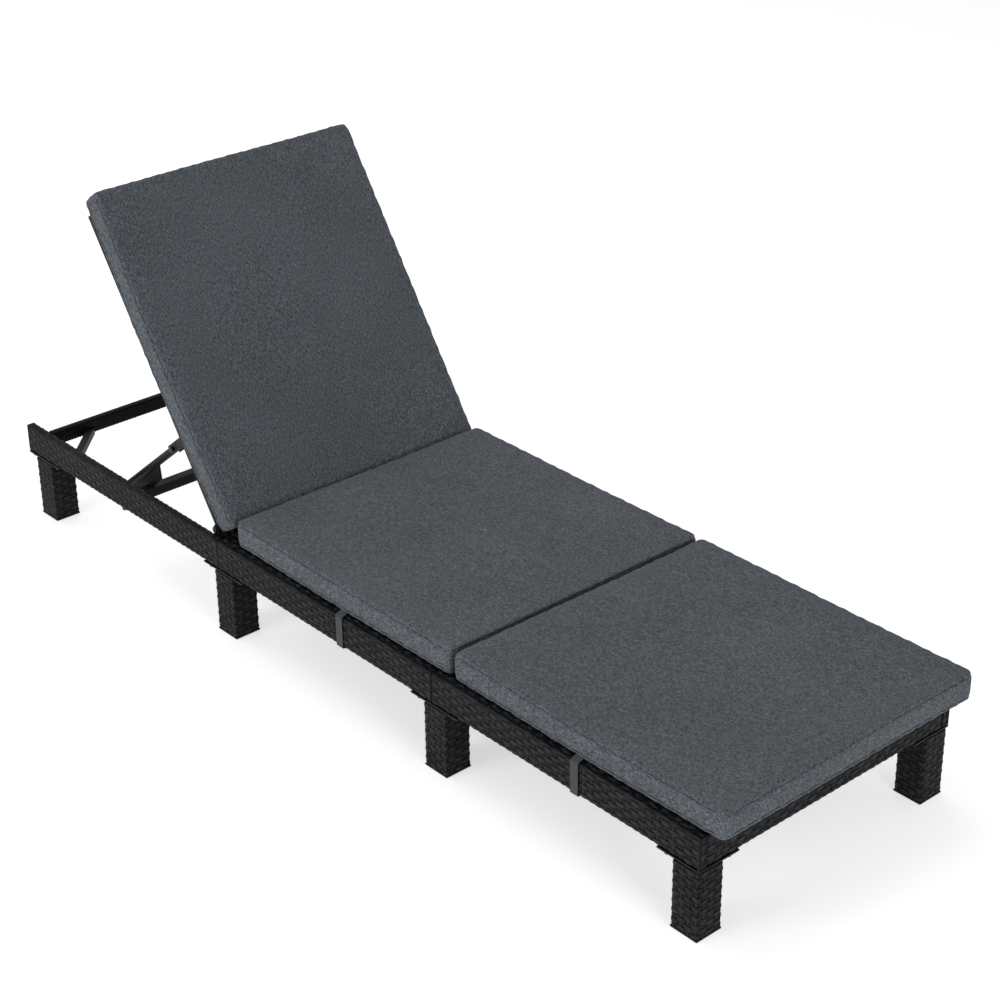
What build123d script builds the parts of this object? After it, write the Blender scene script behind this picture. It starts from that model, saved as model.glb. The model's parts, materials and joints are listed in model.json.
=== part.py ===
from build123d import *
import math
import os

# Reclining sun lounger: wicker-covered steel frame on eight short legs, with a
# hinged backrest held by a notched prop, and three loose cushions.
# Millimetres. +X runs towards the feet, +Y to the sitter's left, +Z up.
# The origin lies on the ground under the middle of the lounger.

# ---- overall frame -------------------------------------------------------
frame_length = 1950.0
frame_width = 600.0
cushion_overhang = 50.0         # foot cushion past the frame's foot end
foot_bay = 635.0
seat_bay = 630.0
leg_height = 138.0              # ground to the underside of the side rails
rail_height = 62.0
rail_thickness = 18.0
wicker = 3.0                    # thickness of a woven cover
steel_wall = 1.5
slip = 0.1                      # room between a cover and the tube inside it
touch = 0.3                     # room left beside a soft or a moving face

# ---- legs ----------------------------------------------------------------
leg_x = 60.0
leg_y = 57.5
head_leg_inset = 23.0           # head leg back from the frame's head end
seat_leg_offset = 6.0           # leg middle from its bay joint, towards the feet
hinge_leg_offset = 14.0
plate = 3.0                     # leg mounting plate thickness
plate_reach = 32.0              # plate past the leg along the rail
glide = 4.0
glide_inset = 1.0

# ---- bolts ---------------------------------------------------------------
bolt_r = 3.0
bolt_head_r = 5.5
bolt_head = 6.0
bolt_grip = 14.0                # shank past the clamped plate
bolt_room = 0.05
nut_height = 5.0
bolt_past = 1.0                 # thread showing past a nut
nut_clear = 3.0                 # hinge nut to the tube above it

# ---- head end ------------------------------------------------------------
head_bar_inset = 57.0           # head crossbar back from the head end
head_bar_height = 33.0
head_bar_top = 199.7
rail_end_radius = 2.5
brace_reach = 88.0             # corner brace along the rail and the bar
brace_width = 15.0
brace_height = 15.0
brace_top = 180.0

# ---- crossbars and decks -------------------------------------------------
bar = 20.0                      # square crossbar tube
prop_bar_x = -618.0             # middle of the crossbar that the prop rests on
prop_bar_top = 181.0
rail_screw_offset = 32.0        # screw under each rail, behind the prop crossbar
deck = 4.0                      # woven deck thickness
deck_inset = 2.0                # seat deck from its bay joint
head_joint_bar_top = 184.0      # crossbar under the backrest's foot
head_joint_bar_width = 30.0
joint_bolt_y = 200.0

# ---- backrest ------------------------------------------------------------
recline = 55.8                  # backrest above the horizontal, as it stands
hinge_x = -338.0
hinge_z = 209.2
back_tube = 18.0
back_panel = 4.0
back_length = 640.0             # hinge to the top end of the frame
back_foot = 22.0                # frame below the hinge
back_side_gap = 6.0             # backrest to the rail, on each side
hinge_plate = 3.0
hinge_plate_length = 49.0
hinge_plate_ahead = 22.0        # hinge plate on the foot side of the pivot
hinge_plate_bottom = 148.0
screw_past = 8.0                # hinge plate screw past the weave
screw_inset = 10.0              # hinge plate screw from the plate's end
screw_rise = 9.0
hinge_shoulder = 12.0           # plate top below the rail top, beside the ear
hinge_ear_r = 9.0
hinge_r = 4.0
hinge_head_r = 6.0
hinge_head = 5.0

# ---- prop ----------------------------------------------------------------
prop_angle = 38.8               # arm below the horizontal, as it stands
prop_along = 183.4              # prop pivot up the backrest from the hinge
prop_room = 0.9                 # clevis to the backrest tube in front of it
prop_y = 245.0                  # arm middle from the centre line
arm_r = 8.0
arm_start = 22.0
arm_length = 318.0
clevis_length = 84.0
clevis_wall = 1.5
clevis_r = 9.6
arm_bolt_along = 70.0
cross_tube_along = 56.0
cross_tube_r = 7.0
rack = 4.0                      # notched plate thickness
rack_clear = 1.0                # notch to the crossbar it hooks over
rack_depth = 40.0
rack_lead = 62.0                # plate on the pivot side of the resting notch
rack_shoulder = 41.0
notch_depth = 14.0
rack_end = 306.0
notch_pitch = 30.0
ear_plate = 2.5
ear_flange = 14.0
ear_width = 20.0
ear_air = 0.4                   # bracket ear to the clevis
ear_below = 10.0                # bracket ear past the prop pivot

# ---- cushions ------------------------------------------------------------
cushion_width = 600.0
cushion_shift = 14.0            # cushions lie a little to the sitter's left
cushion_thick = 57.0
cushion_gap = 8.0               # between the seat and foot cushions
cushion_corner = 13.0
cushion_edge = 7.0
seat_cushion_back = -270.0
foot_cushion_length = 629.0
back_cushion_start = 14.0       # back cushion below the hinge
back_cushion_length = 684.0
strap_width = 18.0
strap = 1.2
strap_air = 0.3
seat_strap_x = 62.0
foot_strap_x = 672.0
back_strap_along = 420.0
strap_tuck = 5.0                # strap end above the rail, on the cushion side

# ---- worked out from the above -------------------------------------------
half = frame_width / 2
head_x = -frame_length / 2 - cushion_overhang / 2
foot_x = head_x + frame_length
foot_joint_x = foot_x - foot_bay
hinge_joint_x = foot_joint_x - seat_bay
rail_top = leg_height + rail_height
rail_in = half - rail_thickness
bar_top = rail_top - deck
post_top = leg_height - plate
back_half = rail_in - back_side_gap
cushion_z = rail_top + touch
cushion_right = cushion_shift - cushion_width / 2
cushion_left = cushion_shift + cushion_width / 2
back_front = back_tube / 2 + back_panel
prop_behind = back_tube / 2 + clevis_r + prop_room    # prop pivot behind the hinge line
sides = {"right": -1, "left": 1}

os.makedirs("parts", exist_ok=True)


def block(x0, x1, y0, y1, z0, z1):
    """A box between two corners, given in any order."""
    size = (abs(x1 - x0), abs(y1 - y0), abs(z1 - z0))
    return Pos((x0 + x1) / 2, (y0 + y1) / 2, (z0 + z1) / 2) * Box(*size)


def rod(radius, start, end):
    """A cylinder between two points on one line parallel to an axis."""
    a, b = Vector(*start), Vector(*end)
    middle = (a + b) * 0.5
    return Plane(origin=middle, z_dir=(b - a).normalized()) * Cylinder(radius, (b - a).length)


def tube_x(x0, x1, y0, y1, z0, z1, wall=steel_wall):
    """A rectangular tube along X, open at both ends."""
    y0, y1 = sorted((y0, y1))
    hollow = block(x0 - 1, x1 + 1, y0 + wall, y1 - wall, z0 + wall, z1 - wall)
    return block(x0, x1, y0, y1, z0, z1) - hollow


def tube_y(x0, x1, y0, y1, z0, z1, wall=steel_wall):
    """A rectangular tube along Y, open at both ends."""
    y0, y1 = sorted((y0, y1))
    hollow = block(x0 + wall, x1 - wall, y0 - 1, y1 + 1, z0 + wall, z1 - wall)
    return block(x0, x1, y0, y1, z0, z1) - hollow


def profile_y(points, y0, y1):
    """An outline in X and Z, given solid depth from y0 to y1."""
    y0, y1 = sorted((y0, y1))
    face = make_face(Polyline(*[(x, y0, z) for x, z in points], close=True))
    return extrude(face, amount=y1 - y0, dir=(0, 1, 0))


def bolt_up(x, y, z, grip=bolt_grip, head=bolt_head):
    """A hexagon bolt pointing up, its head under a plate whose underside is z."""
    hexagon = Pos(x, y, z - head) * extrude(RegularPolygon(bolt_head_r, 6), amount=head)
    return hexagon + rod(bolt_r, (x, y, z - 0.5), (x, y, z + plate + grip))


def cushion(x0, x1, y0, y1, z0, z1):
    """A boxed cushion with rounded corners and edges."""
    body = block(x0, x1, y0, y1, z0, z1)
    body = fillet(body.edges().filter_by(Axis.Z), cushion_corner)
    top = body.faces().sort_by(Axis.Z)[-1].edges()
    low = body.faces().sort_by(Axis.Z)[0].edges()
    return fillet(top + low, min(cushion_edge, (z1 - z0) / 3))


def write(name, shape):
    """One STEP file for one sub-part, which may hold several like solids."""
    solids = shape if isinstance(shape, list) else [shape]
    parts = [s for item in solids for s in item.solids()]
    whole = parts[0] if len(parts) == 1 else Compound(children=parts)
    export_step(whole, f"parts/{name}.step")


# ---- where legs, bolts and rails stand -------------------------------------
legs = {
    "foot": foot_x - leg_x / 2,
    "seat": foot_joint_x + seat_leg_offset,
    "hinge": hinge_joint_x + hinge_leg_offset,
    "head": head_x + head_leg_inset + leg_x / 2,
}
bays = {
    "foot": (foot_joint_x, foot_x),
    "seat": (hinge_joint_x, foot_joint_x),
    "head": (head_x, hinge_joint_x),
}
rail_mid = half - rail_thickness / 2
rail_screw_x = prop_bar_x - rail_screw_offset


def plate_ends(name):
    """How far a leg's mounting plate runs along its rail."""
    x = legs[name]
    low = max(x - leg_x / 2 - plate_reach, head_x)
    high = min(x + leg_x / 2 + plate_reach, foot_x)
    return low, high


def rail_bolts():
    """X places of the bolts that hold the legs to one side rail."""
    places = []
    for name, x in legs.items():
        low, high = plate_ends(name)
        if x - leg_x / 2 - low > 2 * bolt_head_r:
            places.append((low + x - leg_x / 2) / 2)
        if high - x - leg_x / 2 > 2 * bolt_head_r:
            places.append((high + x + leg_x / 2) / 2)
    return places


foot_bolt_y = half - leg_y - plate_reach / 2
foot_bar_mid = foot_x - rail_thickness / 2


def under_rail_holes(side):
    """Clearance holes for the bolts that rise into one side rail."""
    y = side * rail_mid
    top = leg_height + bolt_grip + 1
    reach = [(x, post_top - 1, top) for x in rail_bolts()]
    reach.append((rail_screw_x, post_top - 1, top))
    return [rod(bolt_r + bolt_room, (x, y, a), (x, y, b)) for x, a, b in reach]


def screw_places():
    """X and Z places of the two screws that hold a hinge plate to its rail."""
    behind = hinge_x + hinge_plate_ahead - hinge_plate_length
    z = hinge_plate_bottom + screw_rise
    return [(behind + screw_inset, z), (behind + hinge_plate_length - screw_inset, z)]


def hinge_screw(side, x, z, room=0.0):
    """The shank of one hinge plate screw, from the plate into the rail."""
    outer = side * (rail_in + wicker + screw_past)
    return rod(bolt_r + room, (x, side * (rail_in - hinge_plate - 0.5), z), (x, outer, z))


# ---- legs ------------------------------------------------------------------
def leg_plate(name, side):
    """The flat plate on top of a leg, bolted under the rails."""
    x = legs[name]
    low, high = plate_ends(name)
    inner = side * (half - leg_y)
    over_leg = block(x - leg_x / 2, x + leg_x / 2, side * half, inner, post_top, leg_height)
    shape = over_leg + block(low, high, side * half, side * rail_in, post_top, leg_height)
    if name == "foot":
        end = side * (half - leg_y - plate_reach)
        shape += block(foot_x - rail_thickness, foot_x, side * half, end, post_top, leg_height)
    return shape


def leg_post(name, side):
    """The steel tube inside a leg, welded to its mounting plate."""
    x = legs[name]
    mid = side * (half - leg_y / 2)
    hx = leg_x / 2 - wicker - slip
    hy = leg_y / 2 - wicker - slip
    tube = block(x - hx, x + hx, mid - hy, mid + hy, glide, post_top)
    hx -= steel_wall
    hy -= steel_wall
    tube -= block(x - hx, x + hx, mid - hy, mid + hy, glide - 1, post_top)
    post = tube + leg_plate(name, side)
    for hole in under_rail_holes(side):
        post -= hole
    if name == "foot":
        y = side * foot_bolt_y
        spot = (foot_bar_mid, y, post_top - 1)
        post -= rod(bolt_r + bolt_room, spot, (foot_bar_mid, y, leg_height + 1))
    return post


def leg_cover(name, side):
    """The woven sleeve round a leg."""
    x = legs[name]
    mid = side * (half - leg_y / 2)
    hx = leg_x / 2
    hy = leg_y / 2
    outer = block(x - hx, x + hx, mid - hy, mid + hy, glide, post_top)
    outer = fillet(outer.edges().filter_by(Axis.Z), 2.0)
    hx -= wicker
    hy -= wicker
    return outer - block(x - hx, x + hx, mid - hy, mid + hy, glide - 1, post_top + 1)


for side_name, side in sides.items():
    write(f"leg_posts_{side_name}", [leg_post(name, side) for name in legs])
    for name in legs:
        write(f"leg_cover_{name}_{side_name}", leg_cover(name, side))

pads = []
for side in sides.values():
    mid = side * (half - leg_y / 2)
    hx = leg_x / 2 - glide_inset
    hy = leg_y / 2 - glide_inset
    for x in legs.values():
        pad = block(x - hx, x + hx, mid - hy, mid + hy, 0, glide)
        pads.append(chamfer(pad.faces().sort_by(Axis.Z)[0].edges(), 1.0))
write("leg_glides", pads)

bolts = []
for side in sides.values():
    bolts += [bolt_up(x, side * rail_mid, post_top) for x in rail_bolts()]
    bolts.append(bolt_up(foot_bar_mid, side * foot_bolt_y, post_top))
write("leg_bolts", bolts)


# ---- side rails ------------------------------------------------------------
def rail_tube(bay, side):
    """The flat steel tube inside one bay of a side rail."""
    x0, x1 = bays[bay]
    x0 += wicker if bay == "head" else 0
    gap = wicker + slip
    tube = tube_x(x0, x1, side * (rail_in + gap), side * (half - gap),
                  leg_height + gap, rail_top - gap)
    for hole in under_rail_holes(side):
        tube -= hole
    for x, z in screw_places():
        tube -= hinge_screw(side, x, z, bolt_room)
    return tube


def rail_cover(bay, side):
    """The woven sleeve round one bay; the head bay ends in a soft corner."""
    x0, x1 = bays[bay]
    cover = tube_x(x0, x1, side * rail_in, side * half, leg_height, rail_top, wicker)
    if bay == "head":
        end = block(x0, x0 + wicker, side * rail_in, side * half, leg_height, rail_top)
        cover += end
        crest = cover.edges().filter_by(Axis.Y).group_by(Axis.X)[0].sort_by(Axis.Z)[-1]
        cover = fillet(crest, rail_end_radius)
    for hole in under_rail_holes(side):
        cover -= hole
    for x, z in screw_places():
        cover -= hinge_screw(side, x, z, bolt_room)
    return cover


for side_name, side in sides.items():
    write(f"rail_tubes_{side_name}", [rail_tube(bay, side) for bay in bays])
    for bay in bays:
        write(f"rail_cover_{bay}_{side_name}", rail_cover(bay, side))

# ---- foot rail and head crossbar -------------------------------------------
foot_in = foot_x - rail_thickness
foot_cover = tube_y(foot_in, foot_x, -rail_in, rail_in, leg_height, rail_top, wicker)
gap = wicker + slip
foot_tube = tube_y(foot_in + gap, foot_x - gap, -rail_in, rail_in,
                   leg_height + gap, rail_top - gap)
for side in sides.values():
    y = side * foot_bolt_y
    top = leg_height + bolt_grip + 1
    hole = rod(bolt_r + bolt_room, (foot_bar_mid, y, post_top - 1), (foot_bar_mid, y, top))
    foot_cover -= hole
    foot_tube -= hole
write("foot_rail_cover", foot_cover)
write("foot_rail_tube", foot_tube)

bar_back = head_x + head_bar_inset
bar_front = bar_back + rail_thickness
head_low = head_bar_top - head_bar_height
write("head_bar_cover", tube_y(bar_back, bar_front, -rail_in, rail_in,
                               head_low, head_bar_top, wicker))
write("head_bar_tube", tube_y(bar_back + gap, bar_front - gap, -rail_in, rail_in,
                              head_low + gap, head_bar_top - gap))


def brace_outline(side, width, past):
    """A corner brace seen from above, run past the rail and the bar."""
    spread = width * math.sqrt(2) / 2
    bar_y = rail_in - brace_reach - past
    rail_x = bar_front + brace_reach + past
    return make_face(Polyline(
        (bar_front - past, side * (bar_y - spread)),
        (bar_front - past, side * (bar_y + spread)),
        (rail_x - spread, side * (rail_in + past)),
        (rail_x + spread, side * (rail_in + past)),
        close=True,
    ))


def corner_brace(side):
    """A short tube across a head corner, mitred to the rail and the bar."""
    low = brace_top - brace_height
    solid = extrude(brace_outline(side, brace_width, 0), amount=brace_height, dir=(0, 0, 1))
    core_height = brace_height - 2 * steel_wall
    core = brace_outline(side, brace_width - 2 * steel_wall, 2.0)
    core = extrude(core, amount=core_height, dir=(0, 0, 1))
    return Pos(0, 0, low) * (solid - Pos(0, 0, steel_wall) * core)


for side_name, side in sides.items():
    write(f"corner_brace_{side_name}", corner_brace(side))


# ---- crossbars and decks ---------------------------------------------------
def crossbar(x, top, holes=()):
    """A square tube from rail to rail, its middle at x."""
    tube = tube_y(x - bar / 2, x + bar / 2, -rail_in, rail_in, top - bar, top)
    for hole in holes:
        tube -= hole
    return tube


joint_z = bar_top - bar / 2
joint_holes = []
joint_bolts = []
for side in sides.values():
    y = side * joint_bolt_y
    a = foot_joint_x - bar
    b = foot_joint_x + bar
    joint_holes.append(rod(bolt_r + bolt_room, (a - 1, y, joint_z), (b + 1, y, joint_z)))
    shank = rod(bolt_r, (a - bolt_head, y, joint_z), (b + nut_height + bolt_past, y, joint_z))
    head = rod(bolt_head_r, (a - bolt_head, y, joint_z), (a, y, joint_z))
    nut = rod(bolt_head_r, (b, y, joint_z), (b + nut_height, y, joint_z))
    nut -= rod(bolt_r + bolt_room, (b - 1, y, joint_z), (b + nut_height + bolt_past, y, joint_z))
    joint_bolts += [shank + head, nut]

head_joint_x = hinge_joint_x + deck_inset
head_joint_y = rail_in - hinge_plate
head_joint_z = (head_joint_bar_top + bar_top - bar) / 2
head_joint_holes = []
for side in sides.values():
    y = side * joint_bolt_y
    a = head_joint_x - head_joint_bar_width
    b = head_joint_x + bar
    head_joint_holes.append(rod(bolt_r + bolt_room, (a - 1, y, head_joint_z),
                                (b + 1, y, head_joint_z)))
    far = b + nut_height + bolt_past
    shank = rod(bolt_r, (a - bolt_head, y, head_joint_z), (far, y, head_joint_z))
    head = rod(bolt_head_r, (a - bolt_head, y, head_joint_z), (a, y, head_joint_z))
    nut = rod(bolt_head_r, (b, y, head_joint_z), (b + nut_height, y, head_joint_z))
    nut -= rod(bolt_r + bolt_room, (b - 1, y, head_joint_z), (far, y, head_joint_z))
    joint_bolts += [shank + head, nut]

head_joint_bar = tube_y(head_joint_x - head_joint_bar_width, head_joint_x, -head_joint_y,
                        head_joint_y, head_joint_bar_top - bar, head_joint_bar_top)
for hole in head_joint_holes:
    head_joint_bar -= hole
write("head_joint_crossbar", head_joint_bar)
write("foot_joint_crossbar", crossbar(foot_joint_x + bar / 2, bar_top, joint_holes))
write("seat_joint_crossbar", crossbar(foot_joint_x - bar / 2, bar_top, joint_holes))
write("bay_joint_bolts", joint_bolts)
write("foot_deck_crossbar", crossbar((foot_joint_x + foot_in) / 2, bar_top))
write("seat_deck_crossbar", crossbar((foot_joint_x + hinge_joint_x) / 2, bar_top))
write("hinge_crossbar", crossbar(head_joint_x + bar / 2, bar_top, head_joint_holes))
write("prop_crossbar", crossbar(prop_bar_x, prop_bar_top))
write("foot_deck", block(foot_joint_x, foot_in, -rail_in, rail_in, bar_top, rail_top))
write("seat_deck", block(head_joint_x, foot_joint_x, -rail_in, rail_in, bar_top, rail_top))


# ---- hinge plates, hinge bolts and small screws ------------------------------
def hinge_bracket(side):
    """The plate on a rail's inner face that carries the backrest hinge bolt."""
    front = hinge_x + hinge_plate_ahead
    back = front - hinge_plate_length
    y0 = side * (rail_in - hinge_plate)
    y1 = side * rail_in
    shoulder = rail_top - hinge_shoulder
    body = block(back, front, y0, y1, hinge_plate_bottom, shoulder)
    neck = block(hinge_x - hinge_ear_r, hinge_x + hinge_ear_r, y0, y1, shoulder, hinge_z)
    ear = rod(hinge_ear_r, (hinge_x, y0, hinge_z), (hinge_x, y1, hinge_z))
    hole = rod(hinge_r + bolt_room, (hinge_x, y0 - side, hinge_z), (hinge_x, y1 + side, hinge_z))
    shape = body + neck + ear - hole
    for x, z in screw_places():
        shape -= hinge_screw(side, x, z, bolt_room)
    return shape


def hinge_bolt(side):
    """One hinge bolt with its spacer washer and lock nut."""
    def at(y):
        return (hinge_x, side * y, hinge_z)
    tube_in = back_half - back_tube
    nut_far = tube_in - touch - nut_height
    shank = rod(hinge_r, at(nut_far - 1.0), at(rail_in + 1.0))
    head = rod(hinge_head_r, at(rail_in), at(rail_in + hinge_head))
    nut = rod(hinge_head_r, at(nut_far), at(nut_far + nut_height))
    nut -= rod(hinge_r + bolt_room, at(nut_far - 2.0), at(nut_far + nut_height + 1.0))
    washer = rod(hinge_head_r, at(back_half + touch), at(rail_in - hinge_plate))
    washer -= rod(hinge_r + bolt_room, at(back_half), at(rail_in))
    return [shank + head, nut, washer]


for side_name, side in sides.items():
    write(f"hinge_bracket_{side_name}", hinge_bracket(side))
write("hinge_bolts", [piece for side in sides.values() for piece in hinge_bolt(side)])

screws = []
for side in sides.values():
    face = side * (rail_in - hinge_plate)
    for x, z in screw_places():
        head = rod(bolt_head_r, (x, face, z), (x, face - side * bolt_head, z))
        screws.append(hinge_screw(side, x, z) + head)
    screws.append(bolt_up(rail_screw_x, side * rail_mid, leg_height, bolt_grip - plate))
write("frame_screws", screws)


# ---- backrest, drawn lying flat about its hinge line -------------------------
def lean(shape):
    """Raise a piece drawn flat about the hinge line to the backrest's angle."""
    return Pos(hinge_x, 0, hinge_z) * Rot(0, recline, 0) * shape


def along_x(a, b):
    """Distances up the backrest as X values, lowest first."""
    return -max(a, b), -min(a, b)


half_tube = back_tube / 2
hinge_hole = rod(hinge_r + bolt_room, (0, -half, 0), (0, half, 0))
for side_name, side in sides.items():
    low, high = along_x(-back_foot, back_length)
    tube = tube_x(low, high, side * (back_half - back_tube), side * back_half,
                  -half_tube, half_tube)
    write(f"backrest_side_tube_{side_name}", lean(tube - hinge_hole))

cross_half = back_half - back_tube


def back_cross(a, b):
    """A tube across the backrest between two distances above the hinge."""
    low, high = along_x(a, b)
    return tube_y(low, high, -cross_half, cross_half, -half_tube, half_tube)


bottom_tube = back_cross(hinge_head_r + nut_clear, hinge_head_r + nut_clear + back_tube)
write("backrest_bottom_tube", lean(bottom_tube))
write("backrest_middle_tube", lean(back_cross(prop_along - half_tube, prop_along + half_tube)))
write("backrest_top_tube", lean(back_cross(back_length - back_tube, back_length)))
low, high = along_x(-back_foot, back_length)
panel = block(low, high, -back_half, back_half, half_tube, back_front)
write("backrest_panel", lean(panel))


def prop_bracket(side):
    """The two ears behind the backrest that hold one prop pivot bolt."""
    ears = []
    for way in (-1, 1):
        near = prop_y + way * (clevis_r + ear_air)
        far = near + way * ear_plate
        tip = near + way * (ear_plate + ear_flange - 1.0)
        x0 = -prop_along - ear_width / 2
        x1 = -prop_along + ear_width / 2
        low = -prop_behind - ear_below
        ear = block(x0, x1, side * near, side * far, low, -half_tube)
        corners = ear.edges().filter_by(Axis.Y).group_by(Axis.Z)[0]
        ear = fillet(corners, ear_width / 2 - 1.0)
        flange_low = -half_tube - ear_plate
        ear += block(x0, x1, side * near, side * tip, flange_low, -half_tube)
        ear -= rod(bolt_r + bolt_room, (-prop_along, side * (near - 9), -prop_behind),
                   (-prop_along, side * (near + 9), -prop_behind))
        ears.append(ear)
    return ears


write("prop_brackets", [lean(ear) for side in sides.values() for ear in prop_bracket(side)])


def pivot_bolt(side):
    """One prop pivot bolt and its nut."""
    def at(y):
        return (-prop_along, side * y, -prop_behind)
    reach = clevis_r + ear_air + ear_plate
    inner = prop_y - reach
    outer = prop_y + reach
    shank = rod(bolt_r, at(inner - nut_height - 1.0), at(outer + 1.0))
    head = rod(bolt_head_r, at(outer), at(outer + bolt_head))
    nut = rod(bolt_head_r, at(inner - nut_height), at(inner))
    nut -= rod(bolt_r + bolt_room, at(inner - nut_height - 2.0), at(inner + 1.0))
    return [shank + head, nut]


write("prop_pivot_bolts", [lean(p) for side in sides.values() for p in pivot_bolt(side)])


# ---- prop, drawn lying flat with its pivot at the origin ---------------------
pivot = Vector(-prop_along, 0, -prop_behind).rotate(Axis.Y, recline)
pivot_x = hinge_x + pivot.X
pivot_z = hinge_z + pivot.Z


def swing(shape):
    """Move a piece drawn flat about the prop pivot to where the prop stands."""
    return Pos(pivot_x, 0, pivot_z) * Rot(0, -prop_angle, 0) * shape


def to_arm(x, z):
    """A frame point as distance along the arm and distance below its middle."""
    a = math.radians(prop_angle)
    dx = x - pivot_x
    dz = z - pivot_z
    return -dx * math.cos(a) - dz * math.sin(a), dx * math.sin(a) - dz * math.cos(a)


arm_hole = rod(bolt_r + bolt_room, (-arm_bolt_along, -half, 0), (-arm_bolt_along, half, 0))


def prop_arm(side):
    """A round steel tube, one on each side, that carries the notched plate."""
    y = side * prop_y
    outer = rod(arm_r, (-arm_start, y, 0), (-arm_length, y, 0))
    inner = rod(arm_r - steel_wall, (-arm_start + 1, y, 0), (-arm_length - 1, y, 0))
    return outer - inner - arm_hole


def prop_clevis(side):
    """The channel over the arm's top end that turns on the pivot bolt."""
    y = side * prop_y
    shape = rod(clevis_r, (0, y - clevis_r, 0), (0, y + clevis_r, 0))
    shape += block(-clevis_length, 0, y - clevis_r, y + clevis_r, -clevis_r, clevis_r)
    hw = clevis_r - clevis_wall
    shape -= block(-clevis_length - 1, clevis_r + 1, y - hw, y + hw, -clevis_r - 1, hw)
    shape -= rod(bolt_r + bolt_room, (0, y - 20, 0), (0, y + 20, 0))
    return shape - arm_hole


def prop_rack():
    """Outline of the notched plate, as distances along and below the arm."""
    foot_corner = (prop_bar_x + bar / 2, prop_bar_top + rack_clear)
    head_corner = (prop_bar_x - bar / 2 - rack_clear, prop_bar_top + rack_clear)
    lip = to_arm(*foot_corner)
    root = to_arm(*head_corner)
    tooth = to_arm(head_corner[0], prop_bar_top - bar)
    points = [(lip[0] - rack_lead, 0), (lip[0] - rack_shoulder, lip[1] - 3), (lip[0] - 5, lip[1])]
    points += [lip, root]
    points.append((tooth[0] - 1.0, rack_depth - 2.0))
    points.append((tooth[0] + 4.0, rack_depth))
    at = tooth[0] + 4.0
    while at + notch_pitch < rack_end:
        points.append((at + notch_pitch * 0.45, rack_depth - notch_depth))
        points.append((at + notch_pitch * 0.8, rack_depth))
        points.append((at + notch_pitch, rack_depth))
        at += notch_pitch
    points.append((rack_end, arm_r + 6.0))
    points.append((rack_end, 0))
    return [(-along, -below) for along, below in points]


def rack_plate(side):
    """The notched plate, saddled on the underside of its arm."""
    y = side * prop_y
    shape = profile_y(prop_rack(), y - rack / 2, y + rack / 2)
    return shape - rod(arm_r + bolt_room, (-arm_start, y, 0), (-arm_length - 1, y, 0))


def arm_bolt(side):
    """The bolt that clamps a clevis to its arm."""
    def at(y):
        return (-arm_bolt_along, side * y, 0)
    inner = prop_y - clevis_r
    outer = prop_y + clevis_r
    shank = rod(bolt_r, at(inner - nut_height - 1.0), at(outer + 1.0))
    head = rod(bolt_head_r, at(outer), at(outer + bolt_head))
    nut = rod(bolt_head_r, at(inner - nut_height), at(inner))
    nut -= rod(bolt_r + bolt_room, at(inner - nut_height - 2.0), at(inner + 1.0))
    return [shank + head, nut]


def cross_tube():
    """The tube that makes the two arms swing as one."""
    end = prop_y - clevis_r
    spots = ((-cross_tube_along, -end, 0), (-cross_tube_along, end, 0))
    bore = ((-cross_tube_along, -end - 1, 0), (-cross_tube_along, end + 1, 0))
    return rod(cross_tube_r, *spots) - rod(cross_tube_r - steel_wall, *bore)


for side_name, side in sides.items():
    write(f"prop_arm_{side_name}", swing(prop_arm(side)))
write("prop_clevises", [swing(prop_clevis(side)) for side in sides.values()])
write("prop_racks", [swing(rack_plate(side)) for side in sides.values()])
write("prop_arm_bolts", [swing(p) for side in sides.values() for p in arm_bolt(side)])
write("prop_cross_tube", swing(cross_tube()))

# ---- cushions ----------------------------------------------------------------
foot_end = foot_x + cushion_overhang
foot_start = foot_end - foot_cushion_length
cushion_top = cushion_z + cushion_thick
write("foot_cushion", cushion(foot_start, foot_end, cushion_right, cushion_left,
                              cushion_z, cushion_top))
write("seat_cushion", cushion(seat_cushion_back, foot_start - cushion_gap,
                              cushion_right, cushion_left, cushion_z, cushion_top))
low, high = along_x(-back_cushion_start, back_cushion_length - back_cushion_start)
back_low = back_front + touch
write("back_cushion", lean(cushion(low, high, cushion_right, cushion_left,
                                   back_low, back_low + cushion_thick)))


def band(points, middle):
    """A flat strap, its middle line in Y and Z, its width along X about middle."""
    line = Polyline(*[(y, z) for y, z in points])
    face = trace(line, line_width=strap)
    solid = Plane.YZ * extrude(face, amount=strap_width)
    return Pos(middle - strap_width / 2, 0, 0) * solid


def deck_strap(x):
    """An elastic strap from the cushion's edges, down both rails and under them."""
    out = half + strap_air + strap / 2
    under = leg_height - strap_air - strap / 2
    right_end = (cushion_right - touch - strap / 2, cushion_z + strap_tuck)
    points = [right_end, (-out, rail_top + 1.0), (-out, under), (out, under)]
    points.append((out, rail_top))
    return band(points, x)


write("seat_strap", deck_strap(seat_strap_x))
write("foot_strap", deck_strap(foot_strap_x))

rear = -half_tube - strap_air - strap / 2
edge = back_half + strap_air + strap / 2
loop = [(-edge, back_front), (-edge, rear), (edge, rear), (edge, back_front)]
write("back_strap", lean(band(loop, -back_strap_along)))
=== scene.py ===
import json
import math

import bpy
import numpy as np
from mathutils import Matrix, Vector
from mathutils.bvhtree import BVHTree


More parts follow.
